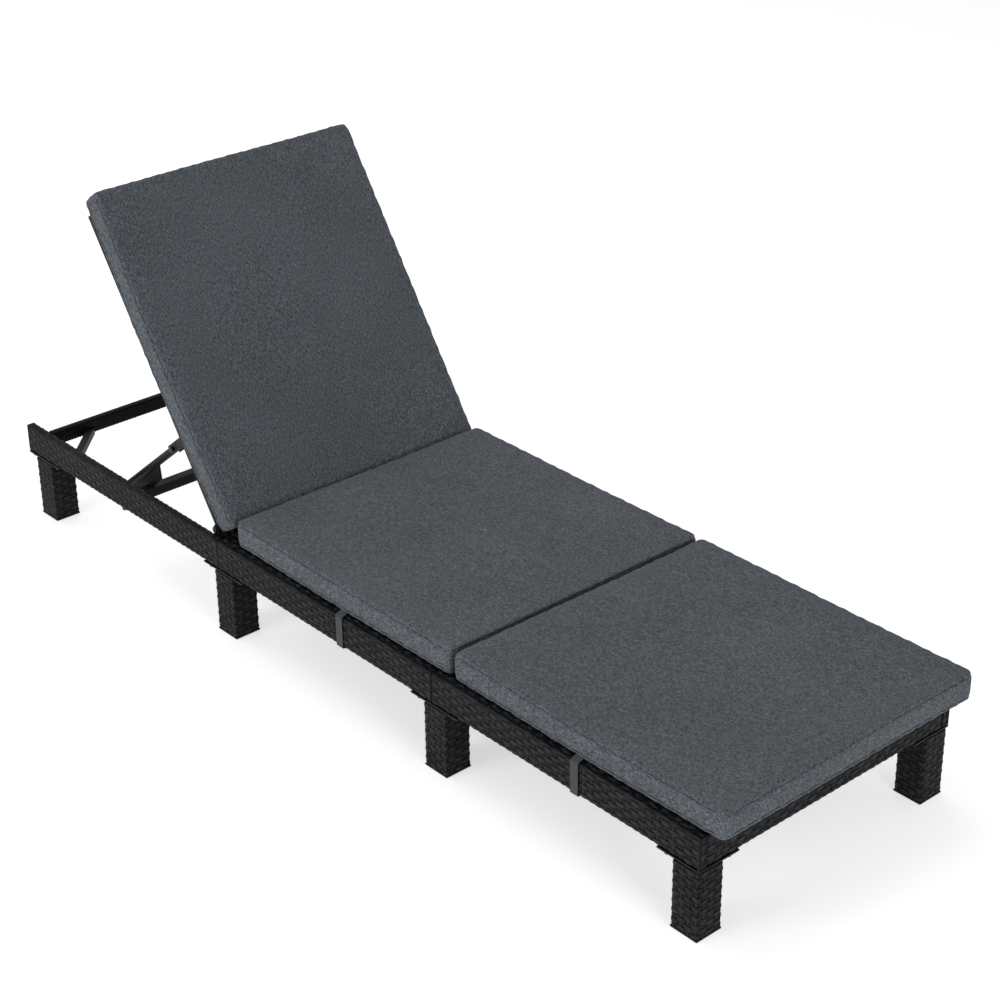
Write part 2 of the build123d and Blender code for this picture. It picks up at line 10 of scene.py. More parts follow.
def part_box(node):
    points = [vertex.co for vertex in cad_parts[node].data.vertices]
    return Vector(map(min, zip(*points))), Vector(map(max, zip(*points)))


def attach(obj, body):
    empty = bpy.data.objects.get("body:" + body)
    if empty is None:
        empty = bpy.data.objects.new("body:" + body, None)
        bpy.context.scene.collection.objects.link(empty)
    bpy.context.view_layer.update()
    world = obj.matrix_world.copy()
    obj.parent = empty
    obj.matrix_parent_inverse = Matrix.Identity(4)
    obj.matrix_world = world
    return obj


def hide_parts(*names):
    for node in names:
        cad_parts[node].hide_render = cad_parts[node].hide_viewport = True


# Reclining sun lounger: woven sleeves, decks, cushions and straps round the
# packed steel frame. Metres. +X towards the feet, +Y to the sitter's left.

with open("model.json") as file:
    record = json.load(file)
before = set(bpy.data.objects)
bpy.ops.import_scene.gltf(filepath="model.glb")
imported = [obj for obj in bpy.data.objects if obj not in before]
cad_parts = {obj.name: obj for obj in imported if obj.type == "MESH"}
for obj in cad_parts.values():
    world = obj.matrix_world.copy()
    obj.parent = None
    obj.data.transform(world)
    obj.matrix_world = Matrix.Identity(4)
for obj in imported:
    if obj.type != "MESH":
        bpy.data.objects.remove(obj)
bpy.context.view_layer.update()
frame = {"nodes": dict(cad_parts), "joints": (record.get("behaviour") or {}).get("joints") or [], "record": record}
cad = frame["nodes"]
record = frame["record"]
bpy.ops.object.select_all(action="DESELECT")

# ---- sizes -----------------------------------------------------------------
SLEEVE = 0.0015          # middle of the weave below a sleeve's outer face
STRAND_PITCH = 0.0165    # upright strands, one to the next
ROW_PITCH = 0.0088       # lengthwise strands, one row to the next
LIFT = 0.0008            # how far a strand rises and dips
CROWN = 0.0005
DECK_PITCH = 0.014
DECK_THICK = 0.0009      # strand thickness of the decks, and how far it waves
DECK_CROWN = 0.0003
STREAKS = 520.0          # grain lines across a strand, to the metre
TUCK = 0.0070            # how far a deck runs in behind the rails' weave
SLEEVE_CORNER = 0.0025   # roundness of the tubes under the weave
END_BAND = 0.005         # strand wound round each end of a sleeve
EDGE_STRAND = 0.0046     # smooth strand along a rail's outer top edge
CORNER_STRAND = 0.0075   # upright strand on the foot end's outer corners
RAIL_ROUND = 0.007       # top corner of a rail's free end
WRAP_PITCH = 0.0062      # turns of the strand round the head bar
WRAP_CORNER = 0.003
BAY_ROOM = 0.0008        # air between two bays' sleeves
MERGE = 0.00002          # points nearer than this are one
STRAP_THICK = 0.0012
STRAP_BEND = 0.0028
CUSHION_CORNER = 0.014   # seen from above
CUSHION_EDGE = 0.006
CUSHION_SWELL = 0.0022   # how far the filling may push a point
CUSHION_VOXEL = 0.0062   # spacing of a cushion's points before they are refined
BLOWING_FRAMES = 20
LOW_SEAM = 0.011         # above a cushion's underside
HIGH_SEAM = 0.0075       # below its top
SEAM_CORD = 0.0008
SIDES = {"right": -1, "left": 1}
LEGS = ("foot", "seat", "hinge", "head")

joints = {j["name"]: j for j in frame["joints"]}
HINGE = Vector(joints["backrest_hinge"]["pos_m"])
RECLINE = math.radians(-joints["backrest_hinge"]["range_deg"][0])


# ---- materials ---------------------------------------------------------------
def wire(tree, source, target):
    tree.links.new(source, target)


def step(tree, kind, **values):
    """One node, with its operation and its unlinked inputs set."""
    node = tree.nodes.new(kind)
    for key, value in values.items():
        if key.startswith("in_"):
            name = key[3:].replace("_", " ")
            node.inputs[int(name) if name.isdigit() else name].default_value = value
        else:
            setattr(node, key, value)
    return node


def blank_material(name):
    material = bpy.data.materials.new(name)
    material.use_nodes = True
    tree = material.node_tree
    tree.nodes.clear()
    out = tree.nodes.new("ShaderNodeOutputMaterial")
    shader = tree.nodes.new("ShaderNodeBsdfPrincipled")
    wire(tree, shader.outputs["BSDF"], out.inputs["Surface"])
    return material, tree, shader


def group_with(name, inputs, outputs):
    """An empty node group and its two end nodes."""
    tree = bpy.data.node_groups.new(name, "ShaderNodeTree")
    for label, kind, value in inputs:
        socket = tree.interface.new_socket(label, in_out="INPUT", socket_type=kind)
        socket.default_value = value
    for label, kind in outputs:
        tree.interface.new_socket(label, in_out="OUTPUT", socket_type=kind)
    return tree, tree.nodes.new("NodeGroupInput"), tree.nodes.new("NodeGroupOutput")


def grime_group():
    """Soft uneven patches and fine specks, as dust and handling leave."""
    tree, start, end = group_with(
        "dust_and_handling",
        [("Vector", "NodeSocketVector", (0, 0, 0)), ("Size", "NodeSocketFloat", 6.0),
         ("Amount", "NodeSocketFloat", 0.2)],
        [("Value", "NodeSocketFloat"), ("Speck", "NodeSocketFloat")],
    )
    broad = step(tree, "ShaderNodeTexNoise", in_Detail=4.0, in_Roughness=0.6)
    fine = step(tree, "ShaderNodeTexNoise", in_Scale=900.0, in_Detail=2.0)
    centre = step(tree, "ShaderNodeMath", operation="SUBTRACT", in_1=0.5)
    scaled = step(tree, "ShaderNodeMath", operation="MULTIPLY")
    wire(tree, start.outputs["Vector"], broad.inputs["Vector"])
    wire(tree, start.outputs["Vector"], fine.inputs["Vector"])
    wire(tree, start.outputs["Size"], broad.inputs["Scale"])
    wire(tree, broad.outputs[0], centre.inputs[0])
    wire(tree, centre.outputs[0], scaled.inputs[0])
    wire(tree, start.outputs["Amount"], scaled.inputs[1])
    wire(tree, scaled.outputs[0], end.inputs["Value"])
    wire(tree, fine.outputs[0], end.inputs["Speck"])
    return tree


GRIME = grime_group()


def grime(tree, vector, size, amount):
    node = step(tree, "ShaderNodeGroup", node_tree=GRIME, in_Size=size, in_Amount=amount)
    wire(tree, vector, node.inputs["Vector"])
    return node


def object_place(tree):
    return step(tree, "ShaderNodeTexCoord").outputs["Object"]


def tinted(tree, low, high, factor):
    """A colour between two, by a factor socket."""
    mix = step(tree, "ShaderNodeMix", data_type="RGBA")
    mix.inputs[6].default_value = (*low, 1)
    mix.inputs[7].default_value = (*high, 1)
    wire(tree, factor, mix.inputs[0])
    return mix.outputs[2]


def bumped(tree, shader, height, strength, distance):
    bump = step(tree, "ShaderNodeBump", in_Strength=strength, in_Distance=distance)
    wire(tree, height, bump.inputs["Height"])
    wire(tree, bump.outputs[0], shader.inputs["Normal"])


def wicker_material(name, low, high, lengthwise=35.0):
    """Flat resin strand: grain along its length, uneven tone, satin gloss, and a painted highlight along each
    crest with painted shade in the dips.
    """
    material, tree, shader = blank_material(name)
    weave = step(tree, "ShaderNodeAttribute", attribute_name="weave")
    parts = step(tree, "ShaderNodeSeparateXYZ")
    wire(tree, weave.outputs["Vector"], parts.inputs[0])
    along = step(tree, "ShaderNodeCombineXYZ")
    upright = step(tree, "ShaderNodeCombineXYZ", in_2=7.0)
    for source, vector, spot, scale in (
        (0, along, 0, lengthwise), (1, along, 1, STREAKS),
        (1, upright, 0, lengthwise), (0, upright, 1, STREAKS),
    ):
        stretch = step(tree, "ShaderNodeMath", operation="MULTIPLY", in_1=scale)
        wire(tree, parts.outputs[source], stretch.inputs[0])
        wire(tree, stretch.outputs[0], vector.inputs[spot])
    pick = step(tree, "ShaderNodeMix", data_type="VECTOR")
    wire(tree, parts.outputs[2], pick.inputs[0])
    wire(tree, along.outputs[0], pick.inputs[4])
    wire(tree, upright.outputs[0], pick.inputs[5])
    grain = step(tree, "ShaderNodeTexNoise", in_Scale=1.0, in_Detail=3.0, in_Roughness=0.65)
    wire(tree, pick.outputs[1], grain.inputs["Vector"])
    dust = grime(tree, object_place(tree), 14.0, 0.5)
    # Painted highlight and shade: the crests, streaked by the grain, take the lighter colour and the dips the
    # darker.
    crest = step(tree, "ShaderNodeAttribute", attribute_name="crest")
    painted_crest_highlight = step(tree, "ShaderNodeMapRange", in_1=0.30, in_2=1.0)
    wire(tree, crest.outputs["Fac"], painted_crest_highlight.inputs[0])
    lines = step(tree, "ShaderNodeMapRange", in_1=0.40, in_2=0.64)
    wire(tree, grain.outputs[0], lines.inputs[0])
    streaked_highlight = step(tree, "ShaderNodeMath", operation="MULTIPLY")
    wire(tree, painted_crest_highlight.outputs[0], streaked_highlight.inputs[0])
    wire(tree, lines.outputs[0], streaked_highlight.inputs[1])
    tone = step(tree, "ShaderNodeMath", operation="MULTIPLY_ADD", in_1=1.0, use_clamp=True)
    wire(tree, streaked_highlight.outputs[0], tone.inputs[0])
    wire(tree, dust.outputs["Value"], tone.inputs[2])
    wire(tree, tinted(tree, low, high, tone.outputs[0]), shader.inputs["Base Color"])
    rough = step(tree, "ShaderNodeMapRange", in_3=0.36, in_4=0.58)
    wire(tree, grain.outputs[0], rough.inputs[0])
    wire(tree, rough.outputs[0], shader.inputs["Roughness"])
    bumped(tree, shader, grain.outputs[0], 0.5, 0.0003)
    shader.inputs["Specular IOR Level"].default_value = 0.16
    return material


def fabric_material(name, dark, middle, light):
    """Heathered cloth: mixed yarns both ways, a plain weave, a soft nap."""
    material, tree, shader = blank_material(name)
    place = step(tree, "ShaderNodeAttribute", attribute_name="cloth").outputs["Vector"]
    yarns = []
    for turn in ((150.0, 760.0, 340.0), (820.0, 230.0, 340.0)):
        stretch = step(tree, "ShaderNodeVectorMath", operation="MULTIPLY", in_1=turn)
        yarn = step(tree, "ShaderNodeTexNoise", in_Scale=1.0, in_Detail=3.0, in_Roughness=0.7)
        wire(tree, place, stretch.inputs[0])
        wire(tree, stretch.outputs[0], yarn.inputs["Vector"])
        yarns.append(yarn.outputs[0])
    mixed = step(tree, "ShaderNodeMath", operation="ADD")
    wire(tree, yarns[0], mixed.inputs[0])
    wire(tree, yarns[1], mixed.inputs[1])
    patch = grime(tree, place, 5.0, 0.12)
    toned = step(tree, "ShaderNodeMath", operation="ADD")
    wire(tree, mixed.outputs[0], toned.inputs[0])
    wire(tree, patch.outputs["Value"], toned.inputs[1])
    spread = step(tree, "ShaderNodeMapRange", in_1=0.83, in_2=1.17)
    wire(tree, toned.outputs[0], spread.inputs[0])
    ramp = step(tree, "ShaderNodeValToRGB")
    ramp.color_ramp.elements[0].color = (*dark, 1)
    ramp.color_ramp.elements[1].color = (*light, 1)
    ramp.color_ramp.elements.new(0.5).color = (*middle, 1)
    wire(tree, spread.outputs[0], ramp.inputs[0])
    wire(tree, ramp.outputs[0], shader.inputs["Base Color"])
    threads = []
    for axis, pitch in ((0, 0.0013), (1, 0.0011)):
        parts = step(tree, "ShaderNodeSeparateXYZ")
        scaled = step(tree, "ShaderNodeMath", operation="MULTIPLY", in_1=math.tau / pitch)
        wave = step(tree, "ShaderNodeMath", operation="SINE")
        wire(tree, place, parts.inputs[0])
        wire(tree, parts.outputs[axis], scaled.inputs[0])
        wire(tree, scaled.outputs[0], wave.inputs[0])
        threads.append(wave.outputs[0])
    crossed = step(tree, "ShaderNodeMath", operation="MULTIPLY")
    wire(tree, threads[0], crossed.inputs[0])
    wire(tree, threads[1], crossed.inputs[1])
    height = step(tree, "ShaderNodeMath", operation="MULTIPLY_ADD", in_1=0.25)
    wire(tree, crossed.outputs[0], height.inputs[0])
    wire(tree, mixed.outputs[0], height.inputs[2])
    bumped(tree, shader, height.outputs[0], 0.55, 0.0006)
    shader.inputs["Roughness"].default_value = 0.92
    shader.inputs["Sheen Weight"].default_value = 0.12
    shader.inputs["Sheen Roughness"].default_value = 0.6
    shader.inputs["Specular IOR Level"].default_value = 0.25
    return material


def webbing_material(name, low, high):
    """Flat elastic or sewing thread: ribs across it and a fleck in the threads."""
    material, tree, shader = blank_material(name)
    place = step(tree, "ShaderNodeAttribute", attribute_name="cloth").outputs["Vector"]
    parts = step(tree, "ShaderNodeSeparateXYZ")
    scaled = step(tree, "ShaderNodeMath", operation="MULTIPLY", in_1=math.tau / 0.0016)
    wave = step(tree, "ShaderNodeMath", operation="SINE")
    wire(tree, place, parts.inputs[0])
    wire(tree, parts.outputs[0], scaled.inputs[0])
    wire(tree, scaled.outputs[0], wave.inputs[0])
    fleck = step(tree, "ShaderNodeTexNoise", in_Scale=700.0, in_Detail=2.0)
    wire(tree, place, fleck.inputs["Vector"])
    height = step(tree, "ShaderNodeMath", operation="MULTIPLY_ADD", in_1=0.5)
    wire(tree, wave.outputs[0], height.inputs[0])
    wire(tree, fleck.outputs[0], height.inputs[2])
    wire(tree, tinted(tree, low, high, fleck.outputs[0]), shader.inputs["Base Color"])
    bumped(tree, shader, height.outputs[0], 0.6, 0.0004)
    shader.inputs["Roughness"].default_value = 0.85
    shader.inputs["Sheen Weight"].default_value = 0.15
    return material


def steel_material(name, low, high, rough, metallic=0.0, peel=0.35):
    """Powder-coated or plated steel: orange peel, patches, small specks."""
    material, tree, shader = blank_material(name)
    place = object_place(tree)
    dust = grime(tree, place, 9.0, 1.0)
    tone = step(tree, "ShaderNodeMath", operation="ADD", in_1=0.5, use_clamp=True)
    wire(tree, dust.outputs["Value"], tone.inputs[0])
    wire(tree, tinted(tree, low, high, tone.outputs[0]), shader.inputs["Base Color"])
    span = step(tree, "ShaderNodeMapRange", in_3=rough - 0.07, in_4=rough + 0.09)
    wire(tree, dust.outputs["Speck"], span.inputs[0])
    wire(tree, span.outputs[0], shader.inputs["Roughness"])
    bumped(tree, shader, dust.outputs["Speck"], peel, 0.00025)
    shader.inputs["Metallic"].default_value = metallic
    shader.inputs["Specular IOR Level"].default_value = 0.3
    return material


# The lighter of each strand material's two colours is mostly a painted highlight on the crests, the darker a
# painted shade in the dips; random dust patches fall between them.
WICKER = wicker_material("wicker_strand", (0.0018, 0.0018, 0.0024), (0.052, 0.053, 0.059))
WRAP = wicker_material("wrapping_strand", (0.002, 0.002, 0.0026), (0.014, 0.014, 0.016), 60.0)
CLOTH = fabric_material("heathered_cloth", (0.034, 0.041, 0.048), (0.086, 0.101, 0.116),
                        (0.195, 0.220, 0.248))
SEAM = webbing_material("seam_thread", (0.009, 0.011, 0.013), (0.022, 0.026, 0.030))
WEBBING = webbing_material("elastic_webbing", (0.03, 0.034, 0.037), (0.075, 0.083, 0.088))
COAT = steel_material("powder_coat", (0.004, 0.004, 0.0046), (0.010, 0.010, 0.0115), 0.42)
GREY_COAT = steel_material("grey_coat", (0.007, 0.007, 0.0078), (0.017, 0.017, 0.0187), 0.4)
PLATED = steel_material("dark_plating", (0.05, 0.05, 0.052), (0.11, 0.11, 0.115), 0.34, 1.0, 0.15)
GLIDE = steel_material("glide_plastic", (0.010, 0.010, 0.011), (0.02, 0.02, 0.021), 0.6, 0.0, 0.6)

FINISHES = {"frame_steel": COAT, "bracket_steel": GREY_COAT, "fastener_steel": PLATED,
            "glide_plastic": GLIDE, "wicker": WICKER, "cushion_fabric": CLOTH,
            "strap_webbing": WEBBING}


def paint_frame():
    """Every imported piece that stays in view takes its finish."""
    slots = {s["node"]: s["material_slot"] for s in record["subparts"]}
    for name, piece in cad.items():
        piece.data.materials.clear()
        piece.data.materials.append(FINISHES[slots[name]])


paint_frame()


# ---- modelling helpers ---------------------------------------------------------
def only(piece):
    bpy.ops.object.select_all(action="DESELECT")
    piece.select_set(True)
    bpy.context.view_layer.objects.active = piece


def apply_all(piece):
    only(piece)
    for modifier in list(piece.modifiers):
        bpy.ops.object.modifier_apply(modifier=modifier.name)


def settle_place(piece):
    only(piece)
    bpy.ops.object.transform_apply(location=True, rotation=True, scale=True)


def joined(pieces, name):
    bpy.ops.object.select_all(action="DESELECT")
    for piece in pieces:
        piece.select_set(True)
    bpy.context.view_layer.objects.active = pieces[0]
    if len(pieces) > 1:
        bpy.ops.object.join()
    whole = bpy.context.view_layer.objects.active
    whole.name = name
    whole.data.name = name
    return whole


def merge_seams(piece):
    only(piece)
    bpy.ops.object.mode_set(mode="EDIT")
    bpy.ops.mesh.select_all(action="SELECT")
    bpy.ops.mesh.remove_doubles(threshold=MERGE)
    bpy.ops.object.mode_set(mode="OBJECT")


def points_of(piece):
    flat = np.empty(len(piece.data.vertices) * 3)
    piece.data.vertices.foreach_get("co", flat)
    return flat.reshape(-1, 3)


def move_points(piece, points):
    piece.data.vertices.foreach_set("co", np.ascontiguousarray(points).ravel())
    piece.data.update()


def note_points(piece, name, points):
    """Keep a place for each vertex, which a pattern then follows."""
    kept = piece.data.attributes.get(name)
    if kept is None:
        kept = piece.data.attributes.new(name, "FLOAT_VECTOR", "POINT")
    kept.data.foreach_set("vector", np.ascontiguousarray(points, dtype=np.float32).ravel())


def note_crests(piece, share):
    """How far each point stands out of the weave, from 0 to 1, kept to paint a highlight on the crests and shade
    in the dips.
    """
    kept = piece.data.attributes.new("crest", "FLOAT", "POINT")
    kept.data.foreach_set("value", np.clip(share, 0, 1).astype(np.float32))


def hand_over(piece, material, slot, body, *replaced):
    """Material, smooth faces, the body it moves with and the nodes it stands for."""
    piece.data.materials.clear()
    piece.data.materials.append(material)
    only(piece)
    bpy.ops.object.shade_smooth()
    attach(piece, body)
    if replaced:
        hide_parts(*replaced)
    return piece


# ---- weaving -------------------------------------------------------------------
def strand(reach, width, across, lift, crown, turned, middle, over_first):
    """One strand over and under two others, lying in the XY plane."""
    bpy.ops.mesh.primitive_grid_add(x_subdivisions=12, y_subdivisions=across, size=1)
    piece = bpy.context.active_object
    points = points_of(piece)
    along = points[:, 0] + 0.5
    side = points[:, 1] * 2
    wave = np.sin(along * math.tau) * (1 if over_first else -1)
    rise = lift * (wave * 0.45 - 0.35 if turned else wave + 0.12 * (wave ** 2 - 1))
    height = rise + crown * (1 - side ** 2)
    if turned:
        points = np.column_stack([middle - side * width / 2, along * reach, height])
    else:
        points = np.column_stack([along * reach, middle + side * width / 2, height])
    move_points(piece, points)
    warp = piece.data.attributes.new("upright", "FLOAT", "POINT")
    warp.data.foreach_set("value", np.full(len(points), 1.0 if turned else 0.0))
    return piece


def woven_sheet(name, columns, rows, pitch, row_pitch, lift, crown, across, thick=0.0):
    """A flat woven sheet from the origin, columns along X and rows along Y."""
    upright_width = pitch * 0.97 if thick else min(pitch * 0.6, 0.0075)
    row_width = row_pitch * (0.98 if thick else 0.9)
    tile = []
    for i in (0, 1):
        tile.append(strand(2 * pitch, row_width, across, lift, crown, False,
                           (i + 0.5) * row_pitch, i == 0))
        tile.append(strand(2 * row_pitch, upright_width, 2, lift, crown, True,
                           (i + 0.5) * pitch, i == 1))
    sheet = joined(tile, name)
    for count, shift in ((columns // 2, (2 * pitch, 0, 0)), (rows // 2, (0, 2 * row_pitch, 0))):
        copies = sheet.modifiers.new("Array", "ARRAY")
        copies.use_relative_offset = False
        copies.use_constant_offset = True
        copies.constant_offset_displace = shift
        copies.count = count
        copies.use_merge_vertices = True
        copies.merge_threshold = MERGE
        only(sheet)
        bpy.ops.object.modifier_apply(modifier=copies.name)
    flat = points_of(sheet)
    upright = np.empty(len(flat), dtype=np.float32)
    sheet.data.attributes["upright"].data.foreach_get("value", upright)
    note_points(sheet, "weave", np.column_stack([flat[:, 0], flat[:, 1], upright]))
    sheet.data.attributes.remove(sheet.data.attributes["upright"])
    # Crest heights, for the painted highlight on the crests and painted shade in the dips.
    note_crests(sheet, (flat[:, 2] / lift + 1) / 2)
    if thick:
        wall = sheet.modifiers.new("Solidify", "SOLIDIFY")
        wall.thickness = thick
        wall.offset = 0
        apply_all(sheet)
    return sheet


def rounded_section(width, height, corner):
    """Places, outward directions and distances round a rounded rectangle."""
    places, ways = [], []
    hw, hh = width / 2 - corner, height / 2 - corner
    for turn, (cx, cy) in enumerate(((hw, hh), (-hw, hh), (-hw, -hh), (hw, -hh))):
        for k in range(9):
            angle = (turn + k / 8) * math.pi / 2
            way = (math.cos(angle), math.sin(angle))
            ways.append(way)
            places.append((cx + corner * way[0], cy + corner * way[1]))
    places.append(places[0])
    ways.append(ways[0])
    places, ways = np.array(places), np.array(ways)
    steps = np.hypot(*np.diff(places, axis=0).T)
    return places, ways, np.concatenate([[0], np.cumsum(steps)])


def round_section(section, distance, out):
    """Section places at these distances round it, pushed out along its normals."""
    places, ways, run = section
    wrapped = np.mod(distance, run[-1])
    spot = [np.interp(wrapped, run, places[:, i]) for i in (0, 1)]
    way = [np.interp(wrapped, run, ways[:, i]) for i in (0, 1)]
    size = np.hypot(*way)
    return spot[0] + way[0] / size * out, spot[1] + way[1] / size * out


def face_out(piece, centre_line):
    """Turn the faces outwards if they point at the middle of the sleeve."""
    mesh = piece.data
    face = mesh.polygons[len(mesh.polygons) // 3]
    if face.normal.dot(face.center - centre_line(face.center)) < 0:
        mesh.flip_normals()


def sleeve_x(name, x0, x1, y0, y1, z0, z1, start_side, bands):
    """A woven sleeve along X with a smooth strand along its outer top edge."""
    width, height = abs(y1 - y0) - 2 * SLEEVE, z1 - z0 - 2 * SLEEVE
    section = rounded_section(width, height, SLEEVE_CORNER)
    girth = section[2][-1]
    rows = 2 * round(girth / ROW_PITCH / 2)
    columns = 2 * round((x1 - x0) / STRAND_PITCH / 2)
    pitch, row_pitch = (x1 - x0) / columns, girth / rows
    sheet = woven_sheet(name, columns, rows, pitch, row_pitch, LIFT, CROWN, 4)
    yc, zc = (y0 + y1) / 2, (z0 + z1) / 2
    corner_at = section[2][4 if start_side > 0 else 13]
    parts = [sheet]
    for x in bands:
        parts.append(band_strand(END_BAND, girth, 4, 64, x, 0))
    parts.append(band_strand(x1 - x0 - 0.001, EDGE_STRAND, 60, 6, (x0 + x1) / 2,
                             (row_pitch - EDGE_STRAND) / 2))
    shift = corner_at - row_pitch / 2
    for part in parts:
        points = points_of(part)
        lift = points[:, 2]
        if part is not sheet:
            lift = lift + LIFT * 1.05
        else:
            points[:, 0] += x0
        y, z = round_section(section, points[:, 1] + shift, lift)
        move_points(part, np.column_stack([points[:, 0], yc + y, zc + z]))
        face_out(part, lambda p: Vector((p.x, yc, zc)))
    whole = joined(parts, name)
    merge_seams(whole)
    return whole


def band_strand(length, width, along, across, x, y):
    """A plain flat strand with a crowned middle, from y upwards, centred on x."""
    bpy.ops.mesh.primitive_grid_add(x_subdivisions=along, y_subdivisions=across, size=1)
    piece = bpy.context.active_object
    points = points_of(piece)
    short = points[:, 1] if width < length else points[:, 0]
    height = CROWN * (1 - (short * 2) ** 2)
    flat = np.column_stack([x + points[:, 0] * length, y + (points[:, 1] + 0.5) * width, height])
    move_points(piece, flat)
    upright = np.full(len(flat), 0.0 if width < length else 1.0)
    note_points(piece, "weave", np.column_stack([flat[:, 0], flat[:, 1], upright]))
    # The crowned middle takes a painted highlight, its edges a painted shade.
    note_crests(piece, 0.25 + 0.5 * height / CROWN)
    return piece


def end_patch(name, x, y0, y1, z0, z1, facing):
    """A small woven patch that closes a sleeve's end, facing along X."""
    rows = 2 * round((z1 - z0) / ROW_PITCH / 2)
    columns = 2
    pitch, row_pitch = (y1 - y0) / columns, (z1 - z0) / rows
    sheet = woven_sheet(name, columns, rows, pitch, row_pitch, LIFT, CROWN, 2)
    points = points_of(sheet)
    across = points[:, 0] if facing > 0 else (y1 - y0) - points[:, 0]
    move_points(sheet, np.column_stack([x + facing * (points[:, 2] - LIFT), y0 + across,
                                        z0 + points[:, 1]]))
    return sheet


def rail_sleeves():
    for label, side in SIDES.items():
        for bay in ("foot", "seat", "head"):
            node = f"rail_cover_{bay}_{label}"
            low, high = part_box(node)
            x0 = low.x + (BAY_ROOM if bay != "head" else 0)
            x1 = high.x - (BAY_ROOM if bay != "foot" else 0)
            bands = [x0 + 0.003] if bay == "foot" else [x0 + 0.003, x1 - 0.003]
            whole = sleeve_x(f"woven_rail_{bay}_{label}", x0, x1, low.y, high.y,
                             low.z, high.z, side, bands)
            inset = 0.001
            if bay == "head":
                cap = end_patch("cap", low.x + inset, low.y + inset, high.y - inset,
                                low.z + inset, high.z - inset, -1)
                whole = joined([whole, cap], whole.name)
                round_top_end(whole, low.x, high.z, RAIL_ROUND)
            hand_over(whole, WICKER, "wicker", "base", node)


def round_top_end(piece, x, z, radius):
    """Round a rail's top corner at its free end, seen from the side."""
    points = points_of(piece)
    centre = np.array([x + radius, z - radius])
    arm = points[:, [0, 2]] - centre
    far = np.hypot(arm[:, 0], arm[:, 1])
    corner = (arm[:, 0] < 0) & (arm[:, 1] > 0) & (far > radius)
    arm[corner] *= (radius / far[corner])[:, None]
    points[:, [0, 2]] = centre + arm
    move_points(piece, points)


def turn_to_y(piece, x, y0):
    """Swing a sleeve made along X to run along Y, about a line at x."""
    points = points_of(piece)
    move_points(piece, np.column_stack([x - points[:, 1], y0 + points[:, 0], points[:, 2]]))


def drop_points(piece, chosen):
    """Cut away the vertices that a test picks out."""
    points = points_of(piece)
    picked = chosen(points)
    only(piece)
    bpy.ops.object.mode_set(mode="EDIT")
    bpy.ops.mesh.select_mode(type="VERT")
    bpy.ops.mesh.select_all(action="DESELECT")
    bpy.ops.object.mode_set(mode="OBJECT")
    piece.data.vertices.foreach_set("select", picked)
    bpy.ops.object.mode_set(mode="EDIT")
    bpy.ops.mesh.delete(type="VERT")
    bpy.ops.object.mode_set(mode="OBJECT")


def corner_strand(x, y, z0, z1, side):
    """An upright strand bent round an outer corner of the foot end."""
    piece = band_strand(z1 - z0 - 0.001, CORNER_STRAND, 20, 8, (z0 + z1) / 2,
                        -CORNER_STRAND / 2)
    points = points_of(piece)
    out = points[:, 2] - 0.0004
    bend = 0.002
    arc = bend * math.pi / 2
    turn = np.clip(points[:, 1] / arc + 0.5, 0, 1) * math.pi / 2
    run = points[:, 1] - np.clip(points[:, 1], -arc / 2, arc / 2)
    px = x - bend + (bend + out) * np.cos(turn) - np.where(run > 0, run, 0)
    py = bend + np.where(run < 0, run, 0) - (bend + out) * np.sin(turn)
    move_points(piece, np.column_stack([px, y - side * py, points[:, 0]]))
    face_out(piece, lambda p: Vector((x - 0.01, y - side * 0.01, p.z)))
    return piece


def foot_rail_sleeve():
    low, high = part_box("foot_rail_cover")
    middle = (low.x + high.x) / 2
    half = (high.x - low.x) / 2
    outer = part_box("rail_cover_foot_left")[1].y - 0.001
    piece = sleeve_x("foot_sleeve", 0.0, 2 * outer, -half, half, low.z, high.z, -1, [])
    turn_to_y(piece, middle, -outer)
    drop_points(piece, lambda p: (np.abs(p[:, 1]) > high.y) & (p[:, 0] < high.x - 0.0035))
    corners = [corner_strand(high.x, side * (outer + 0.001), low.z, high.z, side)
               for side in SIDES.values()]
    piece = joined([piece, *corners], "woven_foot_rail")
    hand_over(piece, WICKER, "wicker", "base", "foot_rail_cover")


def head_bar_wrap():
    """The head crossbar, wound round with one strand laid turn by turn."""
    low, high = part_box("head_bar_cover")
    section = rounded_section(high.x - low.x - 2 * SLEEVE, high.z - low.z - 2 * SLEEVE,
                              WRAP_CORNER)
    girth = section[2][-1]
    turns = round((high.y - low.y) / WRAP_PITCH)
    pitch = (high.y - low.y) / turns
    coil = band_strand(pitch * 0.96, girth, 4, 40, pitch / 2, 0.0)
    copies = coil.modifiers.new("Array", "ARRAY")
    copies.use_relative_offset = False
    copies.use_constant_offset = True
    copies.constant_offset_displace = (pitch, 0, 0)
    copies.count = turns
    apply_all(coil)
    points = points_of(coil)
    note_points(coil, "weave", np.column_stack([points[:, 0], points[:, 1],
                                                np.ones(len(points))]))
    x, z = round_section(section, points[:, 1], points[:, 2] * 2)
    middle = (low + high) / 2
    move_points(coil, np.column_stack([middle.x + x, low.y + points[:, 0], middle.z + z]))
    face_out(coil, lambda p: Vector((middle.x, p.y, middle.z)))
    coil.name = "wrapped_head_bar"
    merge_seams(coil)
    hand_over(coil, WRAP, "wicker", "base", "head_bar_cover")


